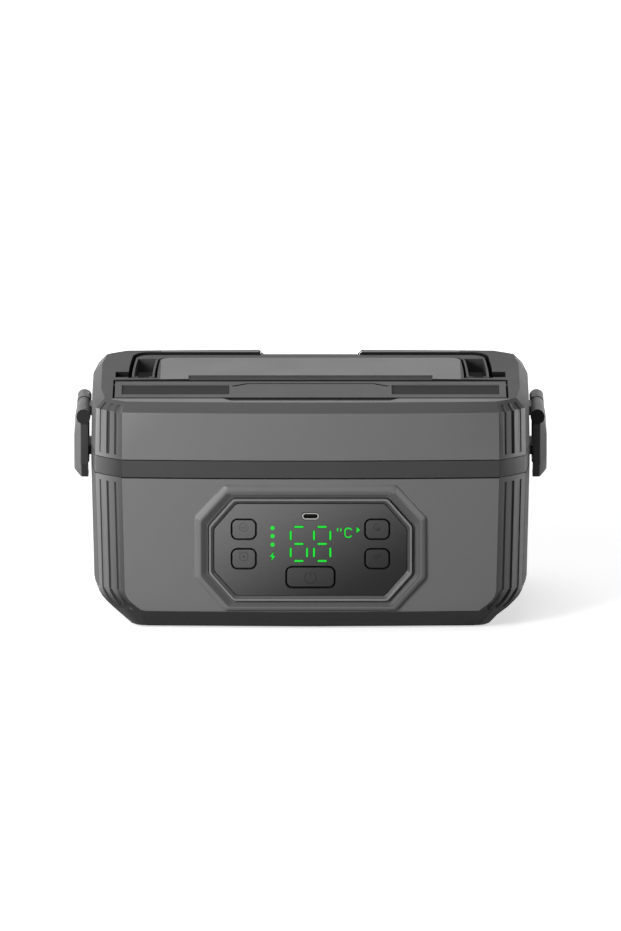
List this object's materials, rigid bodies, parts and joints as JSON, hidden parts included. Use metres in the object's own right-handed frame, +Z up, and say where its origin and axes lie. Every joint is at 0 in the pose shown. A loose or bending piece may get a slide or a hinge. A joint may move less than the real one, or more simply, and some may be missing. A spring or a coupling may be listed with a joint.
{
  "type": "electric lunch box",
  "caption": "Battery-heated lunch box with a lift-out steel pot, latched lift-off lid, folding carry handle, cutlery compartment and front control panel with display.",
  "frame": {"origin": "middle of the outline on the surface the feet stand on", "axes": "+Z up, +X to the right seen from the front, +Y to the back; the control panel faces -Y"},
  "size_m": [0.261, 0.1514, 0.1287],
  "materials": {
    "dark_body": "fine satin texture",
    "rim_black": "fine matte",
    "base_black": "matte",
    "screw_steel": "zinc plated",
    "foot_rubber": "matte rubber",
    "bezel_grey": "satin",
    "panel_black": "satin film",
    "led_green": "lit from behind",
    "white_plastic": "plain",
    "socket_steel": "plated",
    "board_green": "solder mask",
    "switch_black": "plain",
    "button_black": "satin",
    "cell_blue": "shrink sleeve",
    "nickel": "plain",
    "insulation": "mica board",
    "film_amber": "polyimide",
    "plate_aluminium": "plain",
    "well_grey": "satin",
    "pot_steel": "brushed",
    "pot_lid_grey": "satin",
    "seal_white": "silicone",
    "seal_black": "silicone",
    "valve_grey": "silicone",
    "handle_grey": "satin",
    "pad_black": "fine matte",
    "latch_grey": "satin"
  },
  "bodies": {
    "base": {"base_shell": "dark_body", "rim_ring": "rim_black", "rim_screws": "screw_steel", "bottom_cover": "base_black", "bottom_screws": "screw_steel", "rubber_feet": "foot_rubber", "panel_bezel": "bezel_grey", "control_panel": "panel_black", "display_guides": "led_green", "display_module": "white_plastic", "usb_c_socket": "socket_steel", "control_board": "board_green", "tact_switches": "switch_black", "board_screws": "screw_steel", "battery_holder": "base_black", "battery_cells": "cell_blue", "cell_links": "nickel", "battery_clamp": "base_black", "charge_board": "board_green", "insulation_board": "insulation", "heating_film": "film_amber", "heating_plate": "plate_aluminium", "temperature_probe": "plate_aluminium", "inner_well": "well_grey"},
    "pot": {"food_pot": "pot_steel"},
    "pot_cover": {"pot_lid": "pot_lid_grey", "pot_lid_seal": "seal_white"},
    "valve": {"steam_valve": "valve_grey"},
    "lid": {"lid_shell": "dark_body", "lid_inner_panel": "well_grey", "lid_seal": "seal_black", "lid_screws": "screw_steel", "cutlery_tray": "base_black", "handle_well": "base_black", "latch_pins": "socket_steel", "handle_pins": "socket_steel", "cover_pins": "socket_steel"},
    "handle": {"carry_handle": "handle_grey"},
    "cover": {"cutlery_cover": "dark_body", "cover_pads": "pad_black"},
    "latch_left": {"left_latch": "latch_grey"},
    "latch_right": {"right_latch": "latch_grey"},
    "key_schedule": {"schedule_button": "button_black"},
    "key_timer": {"timer_button": "button_black"},
    "key_heat": {"heat_button": "button_black"},
    "key_warm": {"warm_button": "button_black"},
    "key_power": {"power_button": "button_black"}
  },
  "joints": [
    {"name": "pot_lift", "type": "slide", "parent": "base", "child": "pot", "axis": [0, 0, 1], "range_m": [0, 0.12]},
    {"name": "pot_lid_lift", "type": "slide", "parent": "pot", "child": "pot_cover", "axis": [0, 0, 1], "range_m": [0, 0.06]},
    {"name": "steam_valve_pull", "type": "slide", "parent": "pot_cover", "child": "valve", "axis": [0, 0, 1], "range_m": [0, 0.012]},
    {"name": "lid_lift", "type": "slide", "parent": "valve", "child": "lid", "axis": [0, 0, 1], "range_m": [0, 0.15]},
    {"name": "handle_swing", "type": "hinge", "parent": "lid", "child": "handle", "pos_m": [0, 0.003, 0.1234], "axis": [1, 0, 0], "range_deg": [0, 90]},
    {"name": "cutlery_cover_swing", "type": "hinge", "parent": "lid", "child": "cover", "pos_m": [0, -0.0141, 0.1258], "axis": [-1, 0, 0], "range_deg": [0, 90]},
    {"name": "left_latch_swing", "type": "hinge", "parent": "lid", "child": "latch_left", "pos_m": [-0.1253, 0, 0.1116], "axis": [0, 1, 0], "range_deg": [0, 100]},
    {"name": "right_latch_swing", "type": "hinge", "parent": "lid", "child": "latch_right", "pos_m": [0.1253, 0, 0.1116], "axis": [0, -1, 0], "range_deg": [0, 100]},
    {"name": "schedule_press", "type": "slide", "parent": "base", "child": "key_schedule", "axis": [0, 1, 0], "range_m": [0, 0.0005], "stiffness_N_per_m": 900},
    {"name": "timer_press", "type": "slide", "parent": "base", "child": "key_timer", "axis": [0, 1, 0], "range_m": [0, 0.0005], "stiffness_N_per_m": 900},
    {"name": "heat_press", "type": "slide", "parent": "base", "child": "key_heat", "axis": [0, 1, 0], "range_m": [0, 0.0005], "stiffness_N_per_m": 900},
    {"name": "warm_press", "type": "slide", "parent": "base", "child": "key_warm", "axis": [0, 1, 0], "range_m": [0, 0.0005], "stiffness_N_per_m": 900},
    {"name": "power_press", "type": "slide", "parent": "base", "child": "key_power", "axis": [0, 1, 0], "range_m": [0, 0.0005], "stiffness_N_per_m": 900}
  ]
}
